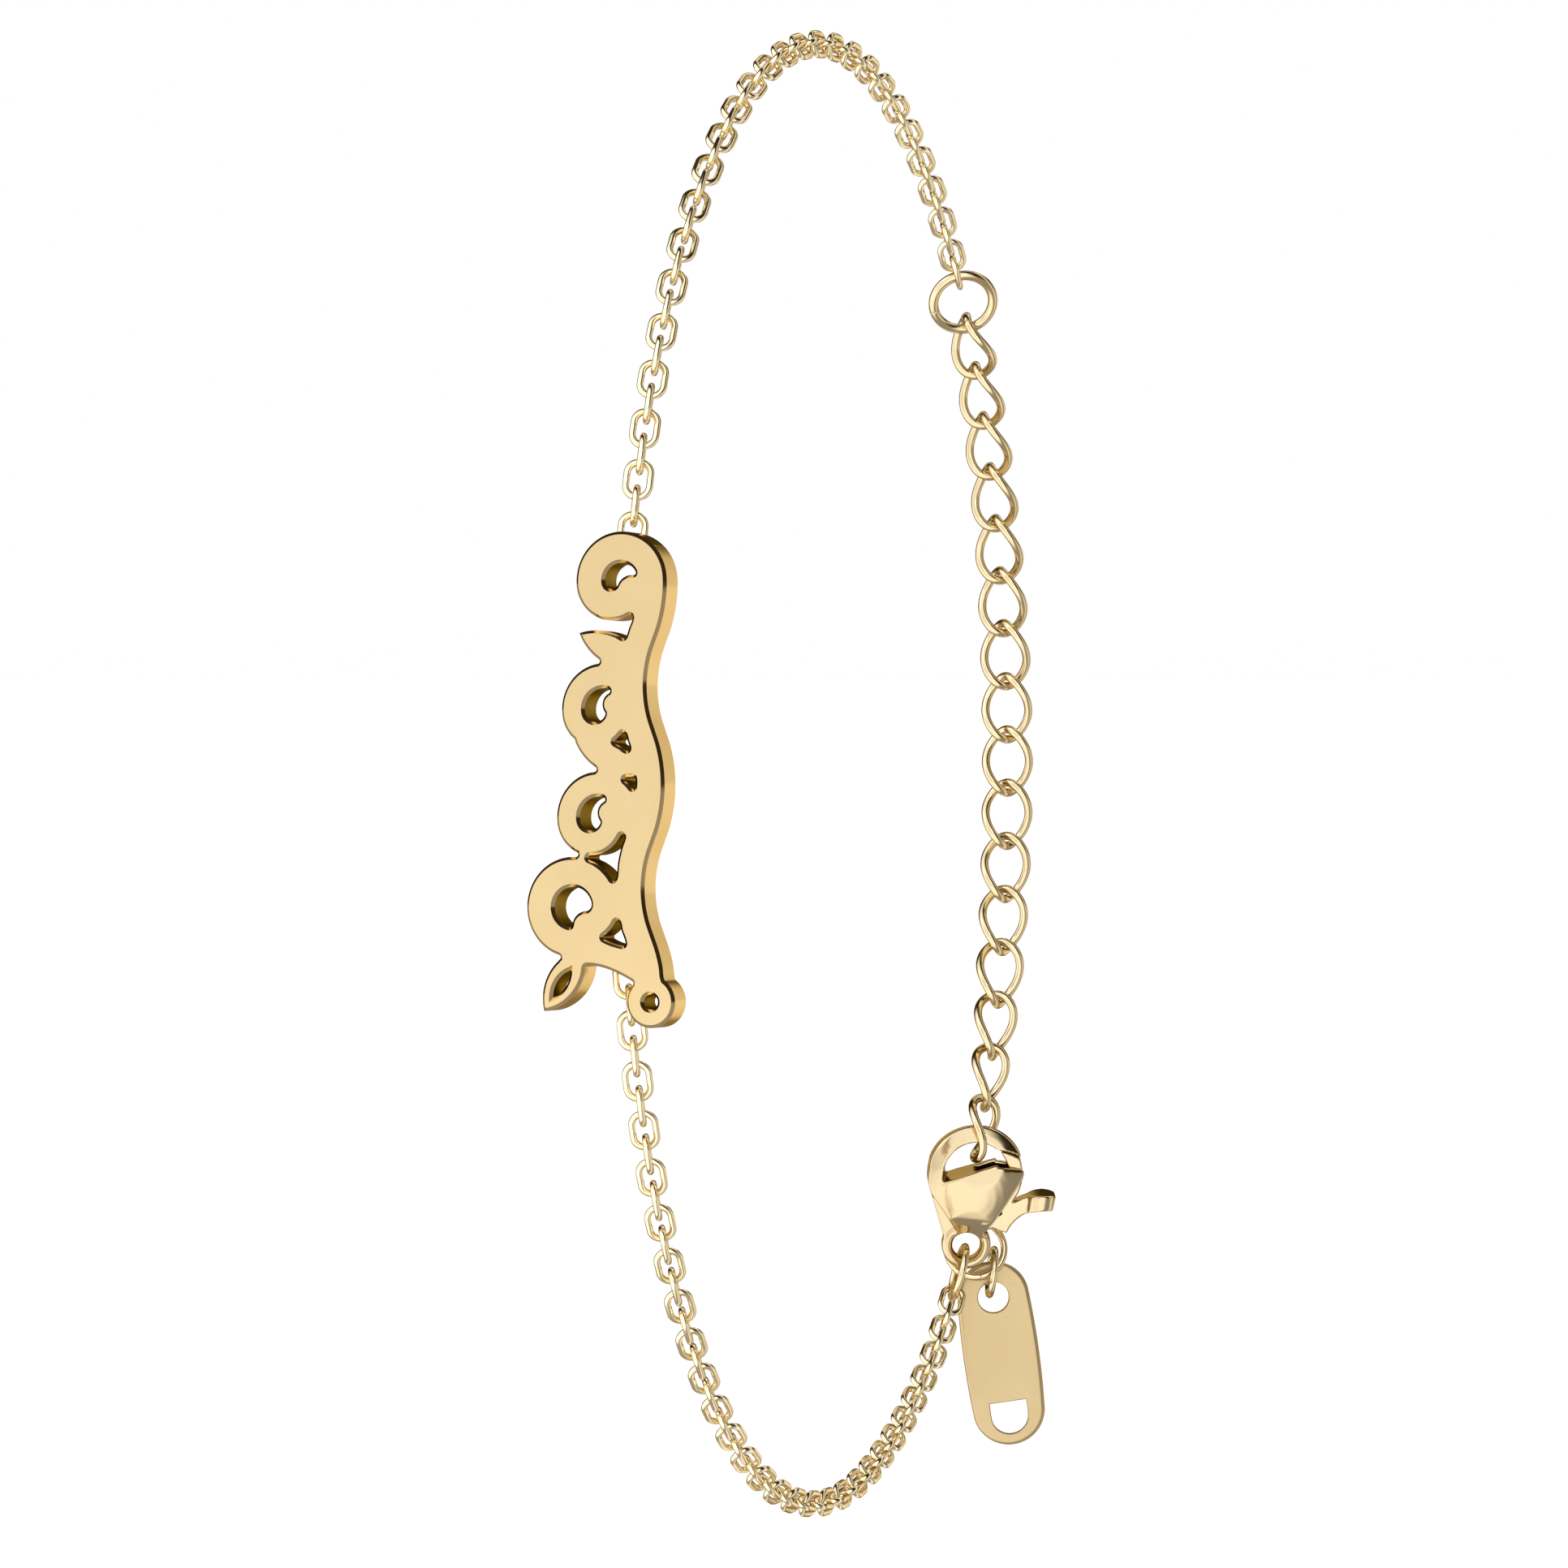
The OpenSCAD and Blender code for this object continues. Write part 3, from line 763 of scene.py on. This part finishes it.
@dataclass
class Shell:
    """Points and faces of a piece while it is built, in millimetres."""

    points: list[np.ndarray] = field(default_factory=list)
    faces: list[list[int]] = field(default_factory=list)
    # walls lists the holes' wall faces, which take the finish with painted shade.
    walls: list[int] = field(default_factory=list)  # numbers of the holes' wall faces

    def add(self, points: np.ndarray) -> int:
        """Adds points.

        Args:
            points: the points, one a row.

        Returns:
            The number of the first.
        """
        first = sum(len(block) for block in self.points)
        self.points.append(points)
        return first

    def join_rings(self, first: int, count: int, rings: int, closed: bool = True) -> None:
        """Adds the faces between successive rings of points.

        Args:
            first: number of the first ring's first point.
            count: points in a ring.
            rings: number of rings.
            closed: whether the last ring joins the first one.
        """
        for k in range(rings if closed else rings - 1):
            here, there = first + k * count, first + (k + 1) % rings * count
            for i in range(count):
                j = (i + 1) % count
                self.faces.append([here + i, here + j, there + j, there + i])

    def add_ring(self, ring: WireRing) -> None:
        """Adds a wire ring.

        Args:
            ring: the ring.
        """
        points = ring.points()
        first = self.add(points.reshape(-1, 3))
        self.join_rings(first, points.shape[1], points.shape[0])

    def piece(self, name: str, *materials: bpy.types.Material) -> bpy.types.Object:
        """Makes the piece.

        Args:
            name: the piece's name.
            *materials: its finish, and another one for the holes' walls, whose dark tone is painted
                        shade, if they differ.

        Returns:
            The object at the origin.
        """
        made = piece_from(name, np.concatenate(self.points), self.faces)
        made.data.shade_smooth()
        made.data.set_sharp_from_angle(angle=math.radians(SHARP_EDGE))
        for material in materials:
            made.data.materials.append(material)
        if len(materials) > 1:
            for number in self.walls:
                made.data.polygons[number].material_index = 1
        return made


@dataclass
class WireRing:
    """A round wire ring with the fine line where its ends meet."""

    place: Place  # its depth is the ring's axis
    radius: float  # of the wire's middle line
    wire: float
    seam_at: float = 0.0  # in degrees from the place's width
    seam_depth: float = 0.02
    seam_width: float = 0.5  # in degrees, like the rest of the seam's sizes
    seam_span: float = 3.0  # within which only the seam's own steps are used
    seam_steps: tuple[float, ...] = (-2.0, -1.0, -0.45, 0.0, 0.45, 1.0, 2.0)
    steps: int = 96
    sides: int = 24

    @classmethod
    def of_form(cls, form: Form, seam_at: float) -> WireRing:
        """Measures a packed ring.

        Args:
            form: the ring's form.
            seam_at: where its ends meet, in degrees.

        Returns:
            The ring.
        """
        place = form.place()
        local = place.local(form.used_points())
        wire = float(np.ptp(local[:, 0]))
        outer = float(np.linalg.norm(local[:, 1:], axis=1).max())
        return cls(place, outer - wire / 2, wire, seam_at)

    def points(self) -> np.ndarray:
        """Works out the ring's points.

        Returns:
            The points as [step, side, coordinate].
        """
        near = self.seam_at + np.array(self.seam_steps)
        turns = np.linspace(0, 360, self.steps, endpoint=False)
        away = np.abs((turns - self.seam_at + 180) % 360 - 180) > self.seam_span
        turns = np.radians(np.sort(np.concatenate([turns[away], near % 360])))
        off = np.abs((np.degrees(turns) - self.seam_at + 180) % 360 - 180)
        thick = self.wire / 2 - self.seam_depth * np.exp(-((off / self.seam_width) ** 2))
        sides = np.radians(np.linspace(0, 360, self.sides, endpoint=False))
        reach = self.radius + thick[:, None] * np.cos(sides)
        local = np.stack([
            thick[:, None] * np.sin(sides),
            reach * np.cos(turns)[:, None],
            reach * np.sin(turns)[:, None],
        ], axis=-1)
        return self.place.world(local.reshape(-1, 3)).reshape(local.shape)


@dataclass
class Nameplate:
    """The openwork plate with the two soldered eyelets on its back."""

    form: Form
    finish: GoldFinish
    # pierced is the hole walls' finish, whose dark tone is painted shade.
    pierced: GoldFinish
    chamfer: float = 0.15
    eyelet_gap: float = 0.25  # behind the plate, from which only the eyelets have points

    def eyelets(self, slab: Slab) -> list[WireRing]:
        """Measures the two eyelets that stand out behind the plate.

        Args:
            slab: the plate without them.

        Returns:
            The upper eyelet and the lower one.
        """
        local = slab.place.local(self.form.points)
        behind = local[local[:, 0] < -slab.half - self.eyelet_gap]
        rings = []
        for chosen in (behind[:, 2] > 0, behind[:, 2] < 0):
            own = behind[chosen]
            wire = float(np.ptp(own[:, 1]))
            outer = float(np.ptp(own[:, 2])) / 2
            middle = own[:, 1:].min(axis=0) + np.ptp(own[:, 1:], axis=0) / 2
            centre = np.array([own[:, 0].min() + outer, *middle])
            place = Place(
                slab.place.world(centre), slab.place.width, slab.place.length, slab.place.depth
            )
            rings.append(WireRing(
                place, outer - wire / 2, wire, seam_at=205.0, seam_depth=0.012, steps=64, sides=20,
            ))
        return rings

    def build(self) -> bpy.types.Object:
        """Builds the plate with its eyelets.

        Returns:
            The plate as one piece.
        """
        slab = Slab(self.form, self.chamfer, edge_steps=1)
        shell = slab.shell()
        for ring in self.eyelets(slab):
            shell.add_ring(ring)
        # The second finish paints shade on the holes' walls.
        return shell.piece("scroll_plate", self.finish.material(), self.pierced.material())


@dataclass
class EndTag:
    """The oblong end tag with its rounded rim and two pierced holes."""

    form: Form
    finish: GoldFinish
    hole_edge: float = 0.07
    rim_share: float = 0.98  # of half the thickness, which leaves a thin flat on the rim

    def build(self) -> bpy.types.Object:
        """Builds the tag, whose rim is rounded over its whole thickness.

        Returns:
            The tag's piece.
        """
        slab = Slab(self.form, self.hole_edge, edge_steps=6)
        slab.rim_growth = slab.half
        slab.rim_radius = slab.half * self.rim_share
        return slab.shell().piece("end_tag", self.finish.material())


# Chains


class LinkNodes(Graph):
    """A Geometry Nodes tree that bends one wire link and sets it on every point of a chain."""

    SIZES = {
        "Length": "NodeSocketFloat", "Width": "NodeSocketFloat", "Straight": "NodeSocketFloat",
        "Twist": "NodeSocketFloat", "Wire": "NodeSocketFloat", "Seam": "NodeSocketFloat",
        "Steps": "NodeSocketInt", "Sides": "NodeSocketInt", "Finish": "NodeSocketMaterial",
    }
    SEAM_FROM = 0.998  # share of the half width beyond which the seam lies

    def __init__(self) -> None:
        """Builds the tree."""
        super().__init__(bpy.data.node_groups.new("wire_links", "GeometryNodeTree"))
        face = self.tree.interface
        face.new_socket("Geometry", in_out="INPUT", socket_type="NodeSocketGeometry")
        for name, kind in self.SIZES.items():
            face.new_socket(name, in_out="INPUT", socket_type=kind)
        face.new_socket("Geometry", in_out="OUTPUT", socket_type="NodeSocketGeometry")
        given = self.node("NodeGroupInput")
        size = {name: self.out(given, name) for name in self.SIZES}
        link = self._link(size)
        placed = self.node(
            "GeometryNodeInstanceOnPoints", None, Points=self.out(given, "Geometry"),
            Instance=link, Rotation=self._rotation(),
        )
        whole = self.node("GeometryNodeRealizeInstances", None, Geometry=self.out(placed))
        smooth = self.node("GeometryNodeSetShadeSmooth", None, Geometry=self.out(whole))
        gold = self.node(
            "GeometryNodeSetMaterial", None, Geometry=self.out(smooth), Material=size["Finish"],
        )
        result = self.node("NodeGroupOutput")
        self.feed(result.inputs["Geometry"], self.out(gold))

    def _link(self, size: dict[str, Shade]) -> Shade:
        """Bends the wire of one link round the origin, with its length along Z.

        Args:
            size: the tree's inputs by name.

        Returns:
            The link's mesh.
        """
        circle = self.node(
            "GeometryNodeCurvePrimitiveCircle", {"mode": "RADIUS"},
            Resolution=size["Steps"], Radius=1.0,
        )
        place = self.node("ShaderNodeSeparateXYZ", None, Vector=self.out(
            self.node("GeometryNodeInputPosition")
        ))
        along, across = self.out(place, "X"), self.out(place, "Y")
        plane = size["Twist"] * along * -0.5
        reach = size["Width"] * across * 0.5
        bent = self.node(
            "ShaderNodeCombineXYZ", None,
            X=reach * self.math("COSINE", plane),
            Y=reach * self.math("SINE", plane),
            Z=(size["Length"] - size["Straight"]) * along * 0.5
            + size["Straight"] * self.math("SIGN", along) * 0.5,
        )
        wire = self.node(
            "GeometryNodeSetPosition", None, Geometry=self.out(circle, "Curve"),
            Position=self.out(bent),
        )
        profile = self.node(
            "GeometryNodeCurvePrimitiveCircle", {"mode": "RADIUS"},
            Resolution=size["Sides"], Radius=size["Wire"] * 0.5,
        )
        beside = self.math("GREATER_THAN", across, self.SEAM_FROM)
        shaped = self.node(
            "GeometryNodeCurveToMesh", None, Curve=self.out(wire),
            Profile_Curve=self.out(profile, "Curve"), Scale=1.0 - beside * size["Seam"],
        )
        return self.out(shaped)

    def _rotation(self) -> Shade:
        """Turns a link's Z and X to the directions that its point carries.

        Returns:
            The rotation.
        """
        ways = [
            self.out(self.node(
                "GeometryNodeInputNamedAttribute", {"data_type": "FLOAT_VECTOR"}, Name=name
            ))
            for name in ("along", "across")
        ]
        turn = self.node(
            "FunctionNodeAxesToRotation", {"primary_axis": "Z", "secondary_axis": "X"},
            Primary_Axis=ways[0], Secondary_Axis=ways[1],
        )
        return self.out(turn)


@dataclass
class Chain:
    """A chain of equal wire links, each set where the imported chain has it."""

    name: str
    forms: list[Form]
    finish: GoldFinish
    length: float  # from the middle of the wire at one end to that at the other
    width: float
    wire: float
    straight: float = 0.0
    twist: float = 0.0  # in degrees from end to end
    seam: float = 0.05
    steps: int = 48
    sides: int = 14

    @classmethod
    def of_oval_links(cls, name: str, forms: list[Form], finish: GoldFinish) -> Chain:
        """Measures the wire and the size of flat oval links on the first one.

        Args:
            name: the piece's name.
            forms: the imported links.
            finish: their finish.

        Returns:
            The chain.
        """
        place = forms[0].place()
        wire, width, length = np.ptp(place.local(forms[0].used_points()), axis=0).tolist()
        return cls(name, forms, finish, length - wire, width - wire, wire, length - width)

    def build(self, nodes: LinkNodes) -> bpy.types.Object:
        """Sets the links and turns them into one plain piece.

        Args:
            nodes: the tree that bends and sets the links.

        Returns:
            The chain's piece.
        """
        places = [form.place() for form in self.forms]
        mesh = bpy.data.meshes.new(self.name)
        mesh.from_pydata([place.centre.tolist() for place in places], [], [])
        for name, rows in (
            ("along", [place.length for place in places]),
            ("across", [place.width for place in places]),
        ):
            attribute = mesh.attributes.new(name, "FLOAT_VECTOR", "POINT")
            attribute.data.foreach_set("vector", np.concatenate(rows).astype(np.float32))
        source = bpy.data.objects.new(self.name, mesh)
        bpy.context.scene.collection.objects.link(source)
        modifier = source.modifiers.new("links", "NODES")
        modifier.node_group = nodes.tree
        values = {
            "Length": self.length, "Width": self.width, "Straight": self.straight,
            "Twist": math.radians(self.twist), "Wire": self.wire, "Seam": self.seam,
            "Steps": self.steps, "Sides": self.sides, "Finish": self.finish.material(),
        }
        for item in nodes.tree.interface.items_tree:
            if item.name in values:
                modifier[item.identifier] = values[item.name]
        return plain_mesh_of(source, self.name)


# Clasp


@dataclass
class CastPiece:
    """A cast piece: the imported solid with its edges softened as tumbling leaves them."""

    name: str
    form: Form
    finish: GoldFinish
    voxel: float = 0.042  # step of the even mesh
    softening: int = 36  # rounds of smoothing

    def build(self) -> bpy.types.Object:
        """Builds the piece from an even mesh of the solid.

        Returns:
            The softened piece.
        """
        source = piece_from(self.name, self.form.points / MM, self.form.triangles)
        remesh = source.modifiers.new("even", "REMESH")
        remesh.mode = "VOXEL"
        remesh.voxel_size = self.voxel
        remesh.use_smooth_shade = True
        smooth = source.modifiers.new("soft", "SMOOTH")
        smooth.factor = 0.5
        smooth.iterations = self.softening
        piece = plain_mesh_of(source, self.name)
        piece.data.materials.clear()
        piece.data.materials.append(self.finish.material())
        return piece


# Light and camera


def direction_of(azimuth: float, elevation: float) -> Vector:
    """The way to a point of the room.

    Args:
        azimuth: degrees from -Y towards +X.
        elevation: degrees above the level of the loop's middle.

    Returns:
        The direction, with length 1.
    """
    a, e = math.radians(azimuth), math.radians(elevation)
    return Vector((math.sin(a) * math.cos(e), -math.cos(a) * math.cos(e), math.sin(e)))


@dataclass(frozen=True)
class SoftBox:
    """A square light that the metal mirrors."""

    name: str
    azimuth: float
    elevation: float
    size: float
    reach: float
    brightness: float  # of what the metal mirrors, where 1 is the white of the room
    colour: Colour = (1.0, 0.97, 0.92)

    def hang(self) -> None:
        """Hangs the light so that it looks at the loop's middle."""
        data = bpy.data.lights.new(self.name, "AREA")
        data.size = self.size * MM
        data.energy = self.brightness * math.pi * (self.size * MM) ** 2
        data.color = self.colour
        light = bpy.data.objects.new(self.name, data)
        bpy.context.scene.collection.objects.link(light)
        direction = direction_of(self.azimuth, self.elevation)
        light.location = direction * self.reach * MM
        light.rotation_mode = "QUATERNION"
        light.rotation_quaternion = direction.to_track_quat("Z", "Y")
        light.visible_camera = False


@dataclass
class Studio:
    """A white room, with light and dark zones for the metal to mirror.

    The zones lie round the direction that the plate's face mirrors, so its face is bright and
    its chamfers dark on every side.
    """

    azimuth: float = 21.15
    elevation: float = 1.05
    distance: float = 300.0
    lens: float = 130.75  # focal length, with a sensor 36 wide
    shift: tuple[float, float] = (-0.030, -0.0058)
    floor_height: float = -55.0
    floor_size: float = 60000.0
    mirrored_azimuth: float = -21.15
    mirrored_elevation: float = 2.1
    # Zones of the room, as [degrees from the mirrored direction, colour]
    zones: tuple[tuple[float, Colour], ...] = (
        (0.0, (1.0, 0.99, 0.96)),
        (14.0, (1.0, 0.99, 0.96)),
        (27.0, (1.32, 1.32, 1.32)),
        (60.0, (1.32, 1.32, 1.32)),
        (68.0, (1.0, 0.99, 0.96)),
        (77.0, (0.03, 0.02, 0.01)),
        (102.0, (0.03, 0.02, 0.01)),
        (110.0, (0.84, 0.80, 0.72)),
        (124.0, (0.84, 0.80, 0.72)),
        (130.0, (0.08, 0.06, 0.03)),
        (147.0, (0.08, 0.06, 0.03)),
        (157.0, (0.86, 0.82, 0.74)),
        (180.0, (0.98, 0.95, 0.88)),
    )
    floor_share: float = 0.85  # of the zones' brightness, which the metal sees in the floor
    floor_seen: Colour = (0.8, 0.8, 0.8)  # the floor's own light, which the camera sees
    floor_tone: Colour = (0.5, 0.5, 0.5)
    floor_roughness: float = 0.9
    soft_boxes: tuple[SoftBox, ...] = (
        SoftBox("key", -42.0, 38.0, size=120.0, reach=400.0, brightness=2.0),
        SoftBox("side", 36.0, 27.0, size=60.0, reach=400.0, brightness=3.0),
        SoftBox("back", 172.0, 40.0, size=120.0, reach=400.0, brightness=1.6),
    )

    def place_camera(self) -> None:
        """Sets the camera at the photograph's viewing angle."""
        data = bpy.data.cameras.new("camera")
        data.lens = self.lens
        data.sensor_width = 36.0
        data.shift_x, data.shift_y = self.shift
        data.clip_start, data.clip_end = 0.01, 100.0
        camera = bpy.data.objects.new("camera", data)
        bpy.context.scene.collection.objects.link(camera)
        back = direction_of(self.azimuth, self.elevation)
        camera.location = back * self.distance * MM
        camera.rotation_mode = "QUATERNION"
        camera.rotation_quaternion = (-back).to_track_quat("-Z", "Y")
        bpy.context.scene.camera = camera

    def zone_tone(self, graph: Graph, way: Any, share: float = 1.0) -> Shade:
        """Works out the zones' colour in a direction.

        Args:
            graph: the graph of the world or of the floor.
            way: the direction, with length 1.
            share: what the colour is multiplied by.

        Returns:
            The colour.
        """
        towards = direction_of(self.mirrored_azimuth, self.mirrored_elevation)
        facing = graph.out(graph.vector_math("DOT_PRODUCT", way, towards), "Value")
        turn = graph.math("ARCCOSINE", facing) / math.pi
        stops = [
            (angle / 180.0, tuple(share * value for value in tone)) for angle, tone in self.zones
        ]
        return graph.colour_ramp(turn, stops)

    def light_room(self) -> None:
        """Makes the room white to the camera, with its zones for the metal."""
        world = bpy.data.worlds.new("white_room")
        bpy.context.scene.world = world
        world.use_nodes = True
        graph = Graph(world.node_tree)
        room = self.zone_tone(graph, graph.out(graph.node("ShaderNodeTexCoord"), "Generated"))
        seen = graph.out(graph.node("ShaderNodeLightPath"), "Is Camera Ray")
        background = graph.node(
            "ShaderNodeBackground", None, Color=graph.mix(seen, room, (1.0, 1.0, 1.0, 1.0)),
        )
        output = graph.node("ShaderNodeOutputWorld")
        graph.feed(output.inputs["Surface"], background.outputs[0])

    def lay_floor(self) -> None:
        """Lays the plain pale floor, which runs into the room's white."""
        half = self.floor_size / 2
        corners = [(-half, -half), (half, -half), (half, half), (-half, half)]
        floor = piece_from("floor", np.array([(x, y, self.floor_height) for x, y in corners]),
                           [[0, 1, 2, 3]])
        material = bpy.data.materials.new("pale_floor")
        material.use_nodes = True
        graph = Graph(material.node_tree)
        seen = graph.out(graph.node("ShaderNodeLightPath"), "Is Camera Ray")
        towards = graph.out(graph.node("ShaderNodeNewGeometry"), "Incoming")
        way = graph.out(graph.vector_math("MULTIPLY", towards, (-1.0, -1.0, -1.0)))
        zones = self.zone_tone(graph, way, self.floor_share)
        pale = graph.mix(seen, zones, rgba(self.floor_seen))
        shader = graph.node(
            "ShaderNodeBsdfPrincipled", None, Base_Color=rgba(self.floor_tone),
            Roughness=self.floor_roughness, Emission_Color=pale, Emission_Strength=1.0,
        )
        output = graph.node("ShaderNodeOutputMaterial")
        graph.feed(output.inputs["Surface"], shader.outputs[0])
        floor.data.materials.append(material)

    def build(self) -> None:
        """Sets up the room, its lights and the camera."""
        self.light_room()
        self.lay_floor()
        for soft_box in self.soft_boxes:
            soft_box.hang()
        self.place_camera()
        scene = bpy.context.scene
        scene.view_settings.view_transform = "Standard"
        scene.view_settings.look = "None"
        scene.view_settings.exposure = 0.0
        scene.view_settings.gamma = 1.0


def main() -> None:
    """Builds the bracelet's pieces in order, then the studio."""
    logging.basicConfig(level=logging.INFO, format="%(name)s: %(message)s")
    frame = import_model()
    nodes = frame["nodes"]
    finishes = Finishes()

    plate = Nameplate(
        Form.of_node(nodes["nameplate"]), finishes.plate, finishes.pierced
    ).build()
    seat(plate, BRACELET, "plate", "nameplate")

    link_nodes = LinkNodes()
    # The chains' finish has its tone painted lighter to offset the shade between the links.
    for name in ("upper_chain", "lower_chain"):
        forms = Form.of_node(nodes[name]).loose_forms()
        chain = Chain.of_oval_links(f"{name}_links", forms, finishes.chain)
        seat(chain.build(link_nodes), BRACELET, "chain", name)
    links = [name for name in nodes if name.startswith("extender_link_")]
    links.sort(key=lambda name: int(name.rsplit("_", 1)[1]))
    forms = [Form.of_node(nodes[name]) for name in links]
    extender = Chain("extender_links", forms, finishes.extender, **CURB_LINK)
    seat(extender.build(link_nodes), BRACELET, "extender", *links)

    for name, seam_at in RING_SEAMS.items():
        shell = Shell()
        shell.add_ring(WireRing.of_form(Form.of_node(nodes[name]), seam_at))
        seat(shell.piece(f"{name}_wire", finishes.ring.material()), BRACELET, "ring", name)

    body = CastPiece("clasp_casting", Form.of_node(nodes["clasp_body"]), finishes.clasp)
    seat(body.build(), BRACELET, "clasp", "clasp_body")
    lever = CastPiece("lever_casting", Form.of_node(nodes["clasp_lever"]), finishes.clasp)
    seat(lever.build(), LEVER, "clasp", "clasp_lever")

    tag = EndTag(Form.of_node(nodes["tag"]), finishes.tag).build()
    seat(tag, BRACELET, "tag", "tag")

    Studio().build()


if __name__ == "__main__":
    main()
